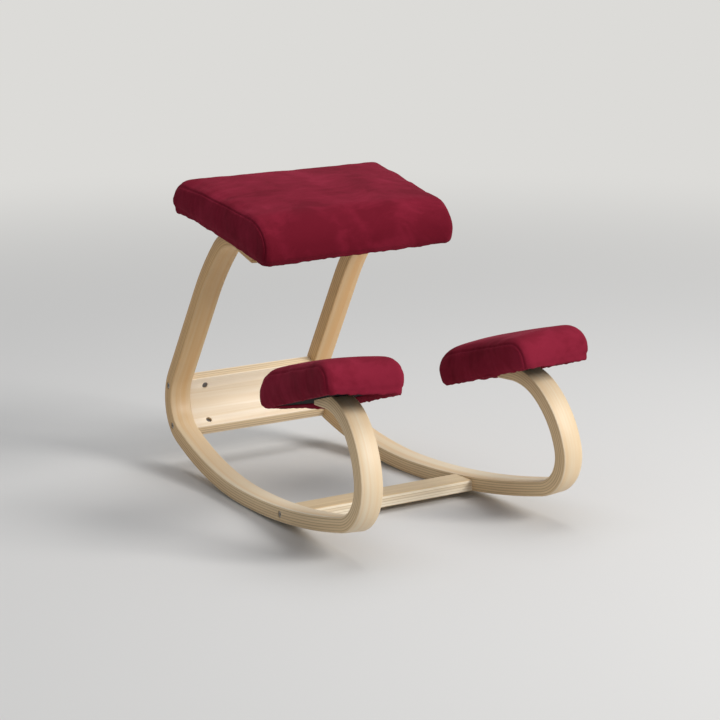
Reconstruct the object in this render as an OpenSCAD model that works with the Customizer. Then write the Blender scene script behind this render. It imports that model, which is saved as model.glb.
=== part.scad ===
// Rocking kneeling chair on two laminated bentwood runners, +Z up, the front faces -Y.
// All lengths are millimetres and all angles are degrees.

/* [Runner strip] */
// Width of the laminated strip
strip_w = 38; // [32:1:44]
// Thickness of the laminated strip
strip_t = 25; // [20:1:30]
// Rounding along the four long edges of the strip
edge_r = 3; // [1.5:0.5:5]
// Gap between the two runners where they touch the floor
stance_w = 297; // [260:1:330]
// Angle by which each runner opens outwards towards the front
splay_a = 3.85; // [2:0.05:6]
// Angle by which each runner leans inwards towards the top
lean_a = 3.1; // [1:0.1:5]

/* [Runner curve] */
// Radius of the rocker ahead of the floor contact
rocker_front_r = 1370; // [1100:10:1700]
// Slope of the rocker where the toe bend begins
ramp_a = 14; // [11:0.5:17]
// Radius of the toe bend
toe_r = 64; // [56:1:76]
// Heading at the end of the toe bend
toe_a = 102; // [96:1:108]
// Radius of the post that rises to the knee pad
post_r = 143; // [120:1:170]
// Heading at the end of the post
post_a = 140; // [132:1:148]
// Radius of the bend under the knee pad
knee_r = 95; // [80:1:110]
// Heading of the short straight end under the knee pad
knee_a = 183; // [179:1:187]
// Length of the short straight end under the knee pad
knee_l = 30; // [22:1:40]
// Radius of the rocker behind the floor contact
rocker_rear_r = 676; // [560:4:800]
// Slope of the rocker where the heel bend begins
tail_a = 21.3; // [18:0.1:25]
// Radius of the heel bend
heel_r = 67; // [58:1:78]
// Steepness of the straight rear leg
leg_a = 60.3; // [57:0.1:64]
// Length of the straight rear leg
leg_l = 183; // [160:1:210]
// Radius of the gentle curve above the leg
leg_top_r = 433; // [350:1:520]
// Steepness of the strip at the end of the gentle curve
leg_top_a = 46.2; // [43:0.1:49]
// Radius of the bend under the seat
hip_r = 82; // [72:1:94]
// Length of the straight rail under the seat
rail_l = 56; // [48:1:66]

/* [Seat] */
// Downward slope of the seat board towards the front
seat_tilt = 13; // [9:0.5:17]
// Distance from the start of the rail back to the middle of the seat
seat_back_l = 19; // [8:1:28]
// Width of the seat along its rear edge
seat_rear_w = 402; // [370:2:430]
// Width of the seat along its front edge
seat_front_w = 360; // [336:2:390]
// Depth of the seat along its slope
seat_d = 274; // [258:1:298]
// Height of the seat cushion at the rear, from the underside of the board
seat_rear_t = 45; // [36:1:54]
// Height of the seat cushion at the front, from the underside of the board
seat_front_t = 62; // [50:1:74]
// Extra height of the crown in the middle of the seat
seat_crown_h = 6; // [2:0.5:10]
// Corner radius of the seat, seen from above
seat_corner_r = 13; // [10:0.5:20]
// Rounding along the sides of the seat
seat_side_r = 14; // [10:0.5:22]
// Rounding along the front of the seat, where the thighs roll over it
seat_front_r = 57; // [46:1:66]
// Rounding along the rear of the seat
seat_rear_r = 28; // [20:1:32]
// Height of the upright band round the seat
seat_band_h = 19; // [15:1:25]
// How far the seat's gathered hem droops below its board
seat_droop_h = 3.5; // [2.5:0.5:6]
// How far the sides of the seat are drawn in between the corners
seat_draw_d = 3; // [1:0.5:4]

/* [Knee pads] */
// Upward slope of the knee pads towards the front
knee_tilt = 18; // [15:0.5:21]
// Thickness left at the planed tip of the runner
tip_t = 8; // [6:0.5:11]
// Distance from the tip of the runner forward to the middle of the pad
pad_ahead_l = 22; // [12:1:34]
// Width of a knee pad
pad_w = 138; // [120:1:160]
// Length of a knee pad along its slope
pad_d = 230; // [210:1:250]
// Height of a knee pad at its rear, from the underside of its board
pad_rear_t = 54; // [44:1:62]
// Height of a knee pad at its front, from the underside of its board
pad_front_t = 47; // [40:1:56]
// Extra height of the crown in the middle of a knee pad
pad_crown_h = 4.5; // [1:0.5:8]
// Corner radius of a knee pad, seen from above
pad_corner_r = 15; // [11:0.5:20]
// Rounding along the sides of a knee pad
pad_side_r = 18; // [12:0.5:24]
// Rounding along the front of a knee pad
pad_front_r = 36; // [26:1:42]
// Rounding along the rear of a knee pad
pad_rear_r = 44; // [30:1:50]
// Height of the upright band round a knee pad
pad_band_h = 18; // [15:1:23]
// How far the gathered hem of a knee pad droops below its board
pad_droop_h = 5.5; // [3.5:0.5:7.5]
// How far the sides of a knee pad are drawn in between the corners
pad_draw_d = 2; // [1:0.5:4]

/* [Boards and covers] */
// Thickness of the plywood boards in the seat and the knee pads
board_t = 12; // [10:1:15]
// Thickness of the sewn covers
cover_t = 2; // [1.5:0.1:3]
// Thickness of the dust cloth under each board
cloth_t = 0.8; // [0.5:0.1:1.2]
// Width of the hem that is turned in under a board
hem_w = 13; // [11:0.5:14]
// How far a board stays inside the outline of its cushion
board_inset_w = 6; // [5:0.5:9]

/* [Rear panel and crossbar] */
// Thickness of the moulded rear panel
panel_t = 18; // [15:1:20]
// Distance of the panel's front face behind the concave faces of the runners
panel_recess_d = 2; // [0:0.5:3]
// Angle that the panel leaves free at each end of the heel bend
panel_margin_a = 3; // [0:0.5:8]
// Distance from the floor contact forward to the middle of the crossbar
bar_ahead_l = 138; // [120:1:156]
// Depth of the crossbar, front to rear
bar_d = 45; // [40:1:54]
// Thickness of the crossbar
bar_t = 20; // [16:1:22]

/* [Fasteners] */
// Radius of the bolt shanks
bolt_r = 3; // [2.5:0.25:3.5]
// Radius of the bolt heads
head_r = 5; // [4.5:0.25:5.5]
// Height of the bolt heads
head_h = 6; // [5:0.5:6.5]
// Radius of the barrel nuts
barrel_r = 5; // [4.5:0.25:5.5]
// Length of the barrel nuts
barrel_l = 12; // [10:0.5:14]
// Distance from the end of the panel or crossbar to its barrel nuts
barrel_inset_l = 28; // [24:1:34]
// Radius of the wooden dowels in the crossbar
dowel_r = 4; // [3:0.5:5]
// Length of the wooden dowels in the crossbar
dowel_l = 36; // [30:1:42]

/* [Hidden] */
$fn = 48;

// Clearances: between soft and hard pieces, round a shank, round a head, inside a nut
fit = 0.3;
shank_fit = 0.5;
head_fit = 0.8;
thread_fit = 0.05;
// Overrun of every cut past the face that it opens
cut = 2;
// Depth of the crown of the hex socket in a bolt head, and its radius, as shares of the head
socket_depth_share = 0.55;
socket_r_share = 0.55;
// Flange of the tee nuts
flange_r = 3 * bolt_r;
flange_t = board_t / 8;
// Sleeve of the tee nuts
sleeve_r = bolt_r + board_t / 12;
sleeve_l = board_t * 0.75;
// Facets that one quarter of a rounded strip edge gets, and arc lengths between stations
edge_steps = 2;
bend_step = strip_t / 4;
sweep_step = strip_t;
// Laminate that stays under a bolt head in the rail and at the tip of the runner
rail_grip = strip_t * 0.7;
tip_grip = tip_t * 0.75;
// Places of the bolts along the rail, and along the planed tip
rail_bolt_shares = [0.16, 0.78];
tip_bolt_shares = [0.24, 0.76];
// Places of the panel bolts along the heel bend
panel_bolt_shares = [0.17, 0.8];

// A step along a left-hand bend of radius r from heading a0 to heading a1
function turned(r, a0, a1) = r * [sin(a1) - sin(a0), cos(a0) - cos(a1)];
function along(a) = [cos(a), sin(a)];
function steps(r, a0, a1, step) = ceil(r * abs(a1 - a0) * PI / 180 / step);
// Stations [point, heading] on a bend, without its last point
function bend_run(p, r, a0, a1, step) =
    let (n = steps(r, a0, a1, step))
    [for (i = [0:n - 1]) let (a = a0 + (a1 - a0) * i / n) [p + turned(r, a0, a), a]];

// Joints of the centreline in the plane of the runner: x runs forwards, y runs up
low = [0, strip_t / 2];
ramp = low + turned(rocker_front_r, 0, ramp_a);
toe = ramp + turned(toe_r, ramp_a, toe_a);
post = toe + turned(post_r, toe_a, post_a);
knee = post + turned(knee_r, post_a, knee_a);
tip = knee + knee_l * along(knee_a);
tail = low + turned(rocker_rear_r, 0, -tail_a);
heel = tail + turned(heel_r, -tail_a, leg_a - 180);
leg = heel + leg_l * along(leg_a);
shoulder = leg + turned(leg_top_r, leg_a - 180, leg_top_a - 180);
hip = shoulder + turned(hip_r, leg_top_a - 180, -180 - seat_tilt);
rail_end = hip + rail_l * along(-seat_tilt);
heel_centre = tail + heel_r * [sin(tail_a), cos(tail_a)];
bar_a = asin(bar_ahead_l / rocker_front_r);
bar_point = low + turned(rocker_front_r, 0, bar_a);

// The whole centreline, from the front end of the rail to the tip under the knee pad
stations = concat(
    [[rail_end, -180 - seat_tilt]],
    bend_run(hip, hip_r, -180 - seat_tilt, leg_top_a - 180, bend_step),
    bend_run(shoulder, leg_top_r, leg_top_a - 180, leg_a - 180, sweep_step),
    [[leg, leg_a - 180]],
    bend_run(heel, heel_r, leg_a - 180, -tail_a, bend_step),
    bend_run(tail, rocker_rear_r, -tail_a, 0, sweep_step),
    bend_run(low, rocker_front_r, 0, ramp_a, sweep_step),
    bend_run(ramp, toe_r, ramp_a, toe_a, bend_step),
    bend_run(toe, post_r, toe_a, post_a, bend_step * 2),
    bend_run(post, knee_r, post_a, knee_a, bend_step),
    [[knee, knee_a], [tip, knee_a]]
);

// Cross-section of the strip: [offset to the convex side, distance outwards from the inner face]
section = [
    for (c = [[1, 1, 0], [-1, 1, 90], [-1, -1, 180], [1, -1, 270]])
    for (k = [0:edge_steps])
    let (a = c[2] + 90 * k / edge_steps)
    [c[0] * (strip_t / 2 - edge_r) + edge_r * cos(a),
     strip_w / 2 + c[1] * (strip_w / 2 - edge_r) + edge_r * sin(a)]
];
runner_rings = [
    for (st = stations)
    [for (q = section) [st[0][0] + q[0] * sin(st[1]), st[0][1] - q[0] * cos(st[1]), q[1]]]
];

// Position in the chair of a point in the plane of the right runner, before the shift to the origin
function leaned(p) = [p[0], p[1] * cos(lean_a) + p[2] * sin(lean_a), p[2] * cos(lean_a) - p[1] * sin(lean_a)];
function splayed(p) = [
    -stance_w / 2 - p[0] * sin(splay_a) - p[2] * cos(splay_a),
    p[2] * sin(splay_a) - p[0] * cos(splay_a),
    p[1]
];
runner_points = [for (ring = runner_rings) for (q = ring) splayed(leaned(q))];
rear_y = max([for (q = runner_points) q[1]]);
front_y = min([for (q = runner_points) q[1]]);
floor_z = min([for (q = runner_points) q[2]]);
// Shift that puts the origin on the floor in the middle of the chair's length
shift_y = -(rear_y + front_y) / 2;
shift_z = -floor_z;
// Where the axis of the heel bend and the middle of the crossbar meet a runner's inner face
panel_axis = splayed(leaned([heel_centre[0], heel_centre[1], 0])) + [0, shift_y, shift_z];
bar_axis = splayed(leaned([bar_point[0], bar_point[1], 0])) + [0, shift_y, shift_z];

module right_side() {
    translate([-stance_w / 2, shift_y, shift_z])
        rotate([0, 0, -90 - splay_a])
            rotate([90, 0, 0])
                rotate([-lean_a, 0, 0])
                    children();
}

module on_side(side) {
    if (side > 0)
        mirror([1, 0, 0])
            right_side()
                children();
    else
        right_side()
            children();
}

// Turns a piece drawn across, rearwards and up into the plane of a runner
module upright() {
    rotate([-90, 0, 0])
        rotate([0, 0, 90])
            children();
}

// The plane that the seat board rests on: its tilt, and one point at the top of the rail's inner edge
rail_top = splayed(leaned([
    hip[0] + strip_t / 2 * sin(seat_tilt),
    hip[1] + strip_t / 2 * cos(seat_tilt),
    edge_r
]));
seat_origin = [
    0,
    rail_top[1] + shift_y + seat_back_l * cos(seat_tilt),
    rail_top[2] + shift_z + seat_back_l * sin(seat_tilt)
];

// The frame of the seat: the underside of its board is the plane z = 0
module seat_frame() {
    translate(seat_origin)
        rotate([seat_tilt, 0, 0])
            translate([0, 0, cloth_t])
                children();
}

// The frame of a knee pad: the underside of its board is the plane z = 0
tip_top = tip + (strip_t / 2 - tip_t) * [sin(knee_a), -cos(knee_a)] * -1;
module knee_frame() {
    translate([tip_top[0], tip_top[1], strip_w / 2])
        rotate([0, 0, knee_tilt])
            upright()
                translate([0, -pad_ahead_l, cloth_t])
                    children();
}

// Length of the planed seat at the tip: where the plane of the board leaves the convex face
plane_l = (strip_t - tip_t) / sin(knee_tilt - knee_a + 180) * 0.9;

// A closed skin over rings of points, each ring anticlockwise seen from the first one's side
module loft(rings) {
    n = len(rings);
    m = len(rings[0]);
    polyhedron(
        points = [for (r = rings) each r],
        faces = concat(
            [[for (j = [0:m - 1]) m - 1 - j]],
            [[for (j = [0:m - 1]) (n - 1) * m + j]],
            [for (i = [0:n - 2]) for (j = [0:m - 1])
                [i * m + j, i * m + (j + 1) % m, (i + 1) * m + (j + 1) % m]],
            [for (i = [0:n - 2]) for (j = [0:m - 1])
                [i * m + j, (i + 1) * m + (j + 1) % m, (i + 1) * m + j]]
        )
    );
}

// A rounded outline, wider or narrower at the front, with sides drawn in between its corners
inward = [[0, -1], [1, 0], [0, 1], [-1, 0]];
function outline(hf, hr, hl, r, corner_steps, side_steps, draw) =
    let (arcs = [
        for (c = [[1, 1, 0], [-1, 1, 90], [-1, -1, 180], [1, -1, 270]])
        [for (k = [0:corner_steps])
            let (a = c[2] + 90 * k / corner_steps)
            [c[0] * ((c[1] > 0 ? hr : hf) - r) + r * cos(a), c[1] * (hl - r) + r * sin(a)]]
    ])
    [for (c = [0:3]) each concat(
        arcs[c],
        [for (i = [1:side_steps])
            let (f = i / (side_steps + 1))
            arcs[c][corner_steps] * (1 - f) + arcs[(c + 1) % 4][0] * f + inward[c] * draw * sin(180 * f)]
    )];

// The height profile of a rounded edge: 0 at the rim, 1 once t reaches 1
function roll(t) = t >= 1 ? 1 : t <= 0 ? 0 : sqrt(1 - (1 - t) * (1 - t));
// How far the rings run in towards the middle, and how they crowd towards the rim
crown_reach = 0.94;
crown_bias = 1.8;

// One cushion: hf and hr are half widths at the front and rear, hl is half the length,
// tf and tr are heights at the front and rear, rs, rf and rr round the side, front and rear edges
module cushion(part, hf, hr, hl, corner, tf, tr, crown, rs, rf, rr, wall, drop, draw, cs, ss, top_n) {
    function half_w(y, e) = hf - e + (hr - hf) * (y + hl) / (2 * hl);
    function top_z(x, y, e) =
        let (
            hw = half_w(y, e),
            full = tr + (tf - tr) * (hl - y) / (2 * hl)
                + crown * (1 - pow(x / hw, 2)) * (1 - pow(y / hl, 2)),
            edge = roll((hw - abs(x)) / rs) * roll((hl - e + y) / rf) * roll((hl - e - y) / rr)
        )
        wall - e / 2 + (full - wall - e / 2) * edge;
    // A level ring, d inside an outline that is itself e inside the cushion
    function level(d, e, z) = [
        for (q = outline(hf - e - d, hr - e - d, hl - e - d, corner * (hl - e - d) / hl, cs, ss, draw))
        [q[0], q[1], z]
    ];
    // A ring that lies on the crown, shrunk towards the middle by the share u
    function crown_ring(u, e) = [
        for (q = outline((hf - e) * (1 - u), (hr - e) * (1 - u), (hl - e) * (1 - u),
                corner * (hl - e) / hl * (1 - u), cs, ss, draw * (1 - u)))
        [q[0], q[1], top_z(q[0], q[1], e)]
    ];
    function crown_rings(e) = [for (i = [top_n:-1:0]) crown_ring(crown_reach * pow(i / top_n, crown_bias), e)];
    outer = concat(crown_rings(0), [
        level(0, 0, wall * 0.45),
        level(0, 0, 0),
        level(hem_w * 0.15, 0, -drop * 0.75),
        level(hem_w * 0.4, 0, -drop),
        level(hem_w * 0.75, 0, -drop * 0.8),
        level(hem_w, 0, -fit - cover_t)
    ]);
    inner = concat([level(hem_w, 0, -fit)], [
        level(board_inset_w, 0, -fit),
        level(board_inset_w - fit - cover_t, cover_t, fit),
        level(0, cover_t, wall * 0.45)
    ]);
    inside_crown = crown_rings(cover_t);
    top_n_last = len(inside_crown) - 1;
    if (part == "cover")
        loft(concat(outer, inner, [for (i = [top_n_last:-1:0]) inside_crown[i]]));
    if (part == "foam")
        loft(concat(crown_rings(cover_t + fit), [level(0, cover_t + fit, board_t + fit / 2)]));
    if (part == "board")
        linear_extrude(board_t)
            polygon([for (q = level(board_inset_w, 0, 0)) [q[0], q[1]]]);
    if (part == "cloth")
        translate([0, 0, -cloth_t])
            linear_extrude(cloth_t)
                polygon([for (q = level(hem_w + fit, 0, 0)) [q[0], q[1]]]);
}

module seat_form(part) {
    cushion(part, hf = seat_front_w / 2, hr = seat_rear_w / 2, hl = seat_d / 2, corner = seat_corner_r,
        tf = seat_front_t, tr = seat_rear_t, crown = seat_crown_h,
        rs = seat_side_r, rf = seat_front_r, rr = seat_rear_r,
        wall = seat_band_h, drop = seat_droop_h, draw = seat_draw_d, cs = 4, ss = 4, top_n = 10);
}

module knee_form(part) {
    cushion(part, hf = pad_w / 2, hr = pad_w / 2, hl = pad_d / 2, corner = pad_corner_r,
        tf = pad_front_t, tr = pad_rear_t, crown = pad_crown_h,
        rs = pad_side_r, rf = pad_front_r, rr = pad_rear_r,
        wall = pad_band_h, drop = pad_droop_h, draw = pad_draw_d, cs = 4, ss = 3, top_n = 8);
}

// A bolt that hangs from z = 0: the head, its hex socket and the shank below
module bolt(shank_l) {
    difference() {
        union() {
            translate([0, 0, -head_h])
                cylinder(r = head_r, h = head_h);
            translate([0, 0, -head_h - shank_l])
                cylinder(r = bolt_r, h = shank_l + head_h / 2);
        }
        translate([0, 0, -head_h * socket_depth_share])
            cylinder(r = head_r * socket_r_share, h = head_h, $fn = 6);
    }
}

// The hole for such a bolt, sunk so that its head lies below the surface
module bolt_hole(shank_l, sink) {
    translate([0, 0, -head_h - shank_l - cut])
        cylinder(r = bolt_r + shank_fit, h = shank_l + head_h + 2 * cut);
    translate([0, 0, -head_h])
        cylinder(r = head_r + head_fit, h = head_h + sink + cut);
}

module tee_nut() {
    difference() {
        union() {
            translate([0, 0, board_t - flange_t])
                cylinder(r = flange_r, h = flange_t);
            translate([0, 0, board_t - sleeve_l])
                cylinder(r = sleeve_r, h = sleeve_l);
        }
        cylinder(r = bolt_r + thread_fit, h = board_t + cut);
    }
}

module tee_nut_hole() {
    translate([0, 0, board_t - flange_t])
        cylinder(r = flange_r + fit, h = flange_t + cut);
    translate([0, 0, -cut])
        cylinder(r = sleeve_r + fit, h = board_t + 2 * cut);
}

// A point on the heel bend at a share of its length, and the heading there
function heel_heading(share) = leg_a - 180 + (180 - leg_a - tail_a) * share;
function heel_point(share) = heel + turned(heel_r, leg_a - 180, heel_heading(share));

// How deep the heads of the panel and crossbar bolts lie under the outer face, and the shanks
head_sink = head_h / 6;
side_shank = strip_w - head_h - head_sink + barrel_inset_l + barrel_r + bolt_r;

// Places a bolt that runs inwards through the strip, from its outer face
module at_strip(p) {
    translate([p[0], p[1], strip_w - head_sink])
        children();
}

module at_panel_bolts() {
    for (share = panel_bolt_shares)
        at_strip(heel_point(share))
            children();
}

// A barrel nut that stands across the panel, and its hole, open towards the concave face
module at_panel_barrels() {
    for (share = panel_bolt_shares)
        translate([heel_centre[0], heel_centre[1], -barrel_inset_l])
            rotate([0, 0, heel_heading(share)])
                rotate([90, 0, 0])
                    translate([0, 0, heel_r])
                        children();
}

module barrel_nut() {
    difference() {
        translate([0, 0, -barrel_l / 2])
            cylinder(r = barrel_r, h = barrel_l);
        rotate([0, 90, 0])
            translate([0, 0, -barrel_r - cut])
                cylinder(r = bolt_r + thread_fit, h = 2 * (barrel_r + cut));
    }
}

// The places of the rail bolts and tip bolts on the underside of a board, seen from that board
module at_rail_bolts() {
    for (share = rail_bolt_shares) {
        p = hip + rail_l * share * along(-seat_tilt);
        q = splayed(leaned([p[0], p[1], strip_w / 2]));
        translate([
            q[0],
            (q[1] + shift_y - seat_origin[1]) * cos(seat_tilt) + (q[2] + shift_z - seat_origin[2]) * sin(seat_tilt),
            0
        ])
            children();
    }
}

module at_tip_bolts() {
    for (share = tip_bolt_shares)
        translate([0, pad_ahead_l - plane_l * share, 0])
            children();
}

// A bolt that comes up from below into a tee nut
module rising_bolt(grip) {
    translate([0, 0, -cloth_t - grip - head_h])
        rotate([180, 0, 0])
            bolt(grip + cloth_t + board_t - flange_t);
}

module rising_hole(grip) {
    translate([0, 0, -cloth_t - grip - head_h])
        rotate([180, 0, 0])
            bolt_hole(grip + cloth_t + board_t, strip_t * 2);
}

module runner(side) {
    color("burlywood")
        difference() {
            on_side(side)
                difference() {
                    loft(runner_rings);
                    at_panel_bolts()
                        bolt_hole(side_shank, head_sink);
                    at_strip(bar_point)
                        bolt_hole(side_shank, head_sink);
                    at_bar_dowels()
                        dowel_hole();
                    knee_frame()
                        translate([-strip_w, -pad_d / 2, -cloth_t])
                            cube([2 * strip_w, pad_d / 2 + pad_ahead_l + strip_t, pad_rear_t]);
                    knee_frame()
                        at_tip_bolts()
                            rising_hole(tip_grip);
                }
            seat_frame()
                translate([-seat_rear_w / 2, -seat_d / 2, -cloth_t])
                    cube([seat_rear_w, seat_d, seat_front_t]);
            seat_frame()
                mirror([side > 0 ? 1 : 0, 0, 0])
                    at_rail_bolts()
                        rising_hole(rail_grip);
        }
}

module runner_right() { runner(-1); }
module runner_left() { runner(1); }

// Trims a piece that spans the chair to the inner faces of both runners
module between_runners() {
    difference() {
        children();
        for (side = [-1, 1])
            on_side(side)
                translate([-rocker_rear_r, -strip_t * 2, 0])
                    cube([rocker_front_r, rocker_rear_r, stance_w]);
    }
}

module rear_panel() {
    inner_r = heel_r - strip_t / 2 + panel_recess_d;
    span_a0 = leg_a - 180 + panel_margin_a;
    span_a1 = -tail_a - panel_margin_a;
    wedge_r = (inner_r + panel_t) * 2;
    color("wheat")
        difference() {
            between_runners()
                translate([0, panel_axis[1], panel_axis[2]])
                    rotate([0, 0, -90])
                        rotate([90, 0, 0])
                            translate([0, 0, -stance_w])
                                linear_extrude(stance_w * 2)
                                    intersection() {
                                        difference() {
                                            circle(r = inner_r + panel_t, $fn = 96);
                                            circle(r = inner_r, $fn = 96);
                                        }
                                        polygon([
                                            [0, 0],
                                            wedge_r * [sin(span_a0), -cos(span_a0)],
                                            wedge_r * [sin((span_a0 + span_a1) / 2), -cos((span_a0 + span_a1) / 2)],
                                            wedge_r * [sin(span_a1), -cos(span_a1)]
                                        ]);
                                    }
            for (side = [-1, 1])
                on_side(side) {
                    at_panel_bolts()
                        bolt_hole(side_shank, head_sink);
                    at_panel_barrels()
                        translate([0, 0, -panel_t * 1.5])
                            cylinder(r = barrel_r + fit, h = panel_t * 1.5 + barrel_l / 2);
                }
        }
}

// A bar section with rounded long edges
module bar_section() {
    square([bar_d - 2 * edge_r, bar_t], center = true);
    square([bar_d, bar_t - 2 * edge_r], center = true);
    for (x = [-1, 1])
        for (y = [-1, 1])
            translate([x * (bar_d / 2 - edge_r), y * (bar_t / 2 - edge_r)])
                circle(r = edge_r, $fn = 24);
}

module at_bar_dowels() {
    for (way = [-1, 1])
        translate([bar_point[0] + way * bar_d * 0.3, bar_point[1], 0])
            children();
}

module dowel() {
    translate([0, 0, -dowel_l / 2])
        cylinder(r = dowel_r, h = dowel_l);
}

module dowel_hole() {
    translate([0, 0, -dowel_l / 2 - fit])
        cylinder(r = dowel_r + thread_fit, h = dowel_l + 2 * fit);
}

module front_crossbar() {
    color("wheat")
        difference() {
            between_runners()
                translate([0, bar_axis[1], bar_axis[2]])
                    rotate([0, 0, -90])
                        rotate([90, 0, 0])
                            translate([0, 0, -stance_w])
                                linear_extrude(stance_w * 2)
                                    bar_section();
            for (side = [-1, 1])
                on_side(side) {
                    at_strip(bar_point)
                        bolt_hole(side_shank, head_sink);
                    at_bar_barrel()
                        translate([0, 0, -bar_t])
                            cylinder(r = barrel_r + fit, h = bar_t + barrel_l / 2);
                    at_bar_dowels()
                        dowel_hole();
                }
        }
}

// The crossbar's barrel nut stands upright and its hole opens downwards
module at_bar_barrel() {
    translate([bar_point[0], bar_point[1], -barrel_inset_l])
        rotate([-90, 0, 0])
            children();
}

module seat_board() {
    color("tan")
        seat_frame()
            difference() {
                seat_form("board");
                for (side = [0, 1])
                    mirror([side, 0, 0])
                        at_rail_bolts()
                            tee_nut_hole();
            }
}

module seat_foam() {
    color("gainsboro")
        seat_frame()
            seat_form("foam");
}

module seat_cover() {
    color("#7c1f33")
        seat_frame()
            seat_form("cover");
}

module seat_dust_cloth() {
    color("#202020")
        seat_frame()
            difference() {
                seat_form("cloth");
                for (side = [0, 1])
                    mirror([side, 0, 0])
                        at_rail_bolts()
                            tee_nut_hole();
            }
}

module knee_board(side) {
    color("tan")
        on_side(side)
            knee_frame()
                difference() {
                    knee_form("board");
                    at_tip_bolts()
                        tee_nut_hole();
                }
}

module knee_soft(side, part) {
    on_side(side)
        knee_frame()
            knee_form(part);
}

module knee_dust_cloth(side) {
    color("#202020")
        on_side(side)
            knee_frame()
                difference() {
                    knee_form("cloth");
                    at_tip_bolts()
                        tee_nut_hole();
                }
}

module knee_board_right() { knee_board(-1); }
module knee_board_left() { knee_board(1); }
module knee_foam_right() { color("gainsboro") knee_soft(-1, "foam"); }
module knee_foam_left() { color("gainsboro") knee_soft(1, "foam"); }
module knee_cover_right() { color("#7c1f33") knee_soft(-1, "cover"); }
module knee_cover_left() { color("#7c1f33") knee_soft(1, "cover"); }
module knee_dust_cloth_right() { knee_dust_cloth(-1); }
module knee_dust_cloth_left() { knee_dust_cloth(1); }

module panel_bolts(side) {
    color("dimgray")
        on_side(side)
            at_panel_bolts()
                bolt(side_shank);
}

module panel_bolts_right() { panel_bolts(-1); }
module panel_bolts_left() { panel_bolts(1); }

module panel_barrel_nuts() {
    color("silver")
        for (side = [-1, 1])
            on_side(side)
                at_panel_barrels()
                    rotate([0, 0, 90])
                        barrel_nut();
}

module crossbar_bolts() {
    color("dimgray")
        for (side = [-1, 1])
            on_side(side)
                at_strip(bar_point)
                    bolt(side_shank);
}

module crossbar_barrel_nuts() {
    color("silver")
        for (side = [-1, 1])
            on_side(side)
                at_bar_barrel()
                    rotate([0, 0, 90])
                        barrel_nut();
}

module crossbar_dowels() {
    color("burlywood")
        for (side = [-1, 1])
            on_side(side)
                at_bar_dowels()
                    dowel();
}

module seat_bolts(side) {
    color("dimgray")
        seat_frame()
            mirror([side > 0 ? 1 : 0, 0, 0])
                at_rail_bolts()
                    rising_bolt(rail_grip);
}

module seat_bolts_right() { seat_bolts(-1); }
module seat_bolts_left() { seat_bolts(1); }

module seat_tee_nuts() {
    color("silver")
        seat_frame()
            for (side = [0, 1])
                mirror([side, 0, 0])
                    at_rail_bolts()
                        tee_nut();
}

module knee_bolts(side) {
    color("dimgray")
        on_side(side)
            knee_frame()
                at_tip_bolts()
                    rising_bolt(tip_grip);
}

module knee_bolts_right() { knee_bolts(-1); }
module knee_bolts_left() { knee_bolts(1); }

module knee_tee_nuts() {
    color("silver")
        for (side = [-1, 1])
            on_side(side)
                knee_frame()
                    at_tip_bolts()
                        tee_nut();
}

runner_right();
runner_left();
rear_panel();
front_crossbar();
seat_board();
seat_foam();
seat_cover();
seat_dust_cloth();
knee_board_right();
knee_foam_right();
knee_cover_right();
knee_dust_cloth_right();
knee_board_left();
knee_foam_left();
knee_cover_left();
knee_dust_cloth_left();
panel_bolts_right();
panel_bolts_left();
panel_barrel_nuts();
crossbar_bolts();
crossbar_barrel_nuts();
crossbar_dowels();
seat_bolts_right();
seat_bolts_left();
seat_tee_nuts();
knee_bolts_right();
knee_bolts_left();
knee_tee_nuts();
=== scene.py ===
"""The looks of a rocking kneeling chair.

It has bentwood runners, a curved rear panel, a suede seat and two knee pads. Everything is in
metres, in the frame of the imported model: +Z up, the chair faces -Y, +X is the sitter's left.
"""

import math

import bpy
import numpy as np
from mathutils import Matrix, Vector, kdtree, noise


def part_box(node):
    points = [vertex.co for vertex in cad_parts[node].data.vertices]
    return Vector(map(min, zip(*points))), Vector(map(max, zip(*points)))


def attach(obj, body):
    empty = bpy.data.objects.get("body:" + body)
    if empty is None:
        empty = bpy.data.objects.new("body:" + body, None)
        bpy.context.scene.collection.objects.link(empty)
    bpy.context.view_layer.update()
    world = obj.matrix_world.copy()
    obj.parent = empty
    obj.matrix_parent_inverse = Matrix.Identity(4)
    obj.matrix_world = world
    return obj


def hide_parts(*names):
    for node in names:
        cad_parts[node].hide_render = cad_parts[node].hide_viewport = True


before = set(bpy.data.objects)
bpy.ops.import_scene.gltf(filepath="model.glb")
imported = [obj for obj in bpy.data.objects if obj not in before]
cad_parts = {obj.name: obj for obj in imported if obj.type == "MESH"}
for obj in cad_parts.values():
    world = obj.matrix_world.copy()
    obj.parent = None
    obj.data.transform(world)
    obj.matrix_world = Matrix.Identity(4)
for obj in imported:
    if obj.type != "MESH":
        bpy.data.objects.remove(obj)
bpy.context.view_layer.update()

# Sizes shared with the solids

MM = 0.001
STRIP_W, STRIP_T = 38 * MM, 25 * MM
STANCE_W = 297 * MM
SPLAY, LEAN = math.radians(3.85), math.radians(3.1)
SEAT_TILT, KNEE_TILT = math.radians(13), math.radians(18)
BOARD_T = 12 * MM
BAR_T = 20 * MM
HEEL_R = 67 * MM
# The panel's thickness, and how far its concave face is set back from the runners' concave face
PANEL_T, PANEL_BACK = 18 * MM, 2 * MM

# The runner's centreline in stretches from the floor contact: (radius or length, heading at the
# stretch's end). A stretch whose heading stays the same is straight.
FORWARD = [(1370 * MM, 14), (64 * MM, 102), (143 * MM, 140), (95 * MM, 183), (30 * MM, 183)]
BACKWARD = [
    (676 * MM, -21.3), (HEEL_R, -119.7), (183 * MM, -119.7),
    (433 * MM, -133.8), (82 * MM, -193), (56 * MM, -193),
]

SIDES = {"right": -1, "left": 1}

# Points closer than this are one point, and a turn sharper than this stays an edge
WELD_GAP, SHARP_TURN = 0.004 * MM, math.radians(38)


# Camera and lamps

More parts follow.
